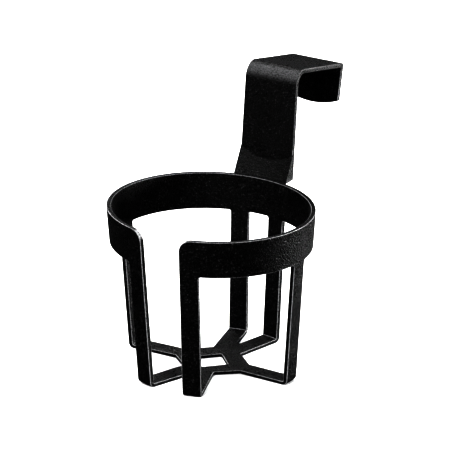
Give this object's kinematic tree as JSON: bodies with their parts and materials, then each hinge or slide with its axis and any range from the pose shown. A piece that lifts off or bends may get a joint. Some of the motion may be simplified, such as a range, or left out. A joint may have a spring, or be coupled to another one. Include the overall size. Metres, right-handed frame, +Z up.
{
  "type": "cup holder",
  "caption": "Black plastic cup holder: open basket of flat strips with a split rim band for a mug handle, hung by a strap that bends over an edge into a hook.",
  "frame": {"origin": "centre of the footprint, on the plane the basket stands on", "axes": "+Z up along the basket; +Y from the basket's gap towards the hook; +X to the right seen from the gap; X = 0 is the mirror plane"},
  "size_m": [0.09, 0.1376, 0.1237],
  "materials": {
    "black_plastic": "fine-grained satin, moulded in colour"
  },
  "bodies": {
    "root": {"rim_band": "black_plastic", "front_left_leg": "black_plastic", "front_right_leg": "black_plastic", "left_leg": "black_plastic", "right_leg": "black_plastic", "rear_left_leg": "black_plastic", "rear_right_leg": "black_plastic", "front_left_arm": "black_plastic", "front_right_arm": "black_plastic", "left_arm": "black_plastic", "right_arm": "black_plastic", "rear_left_arm": "black_plastic", "rear_right_arm": "black_plastic", "hub_frame": "black_plastic", "rear_tongue": "black_plastic", "hanger_strap": "black_plastic", "hook_crown": "black_plastic", "hook_top_plate": "black_plastic", "hook_lip": "black_plastic"}
  },
  "joints": []
}
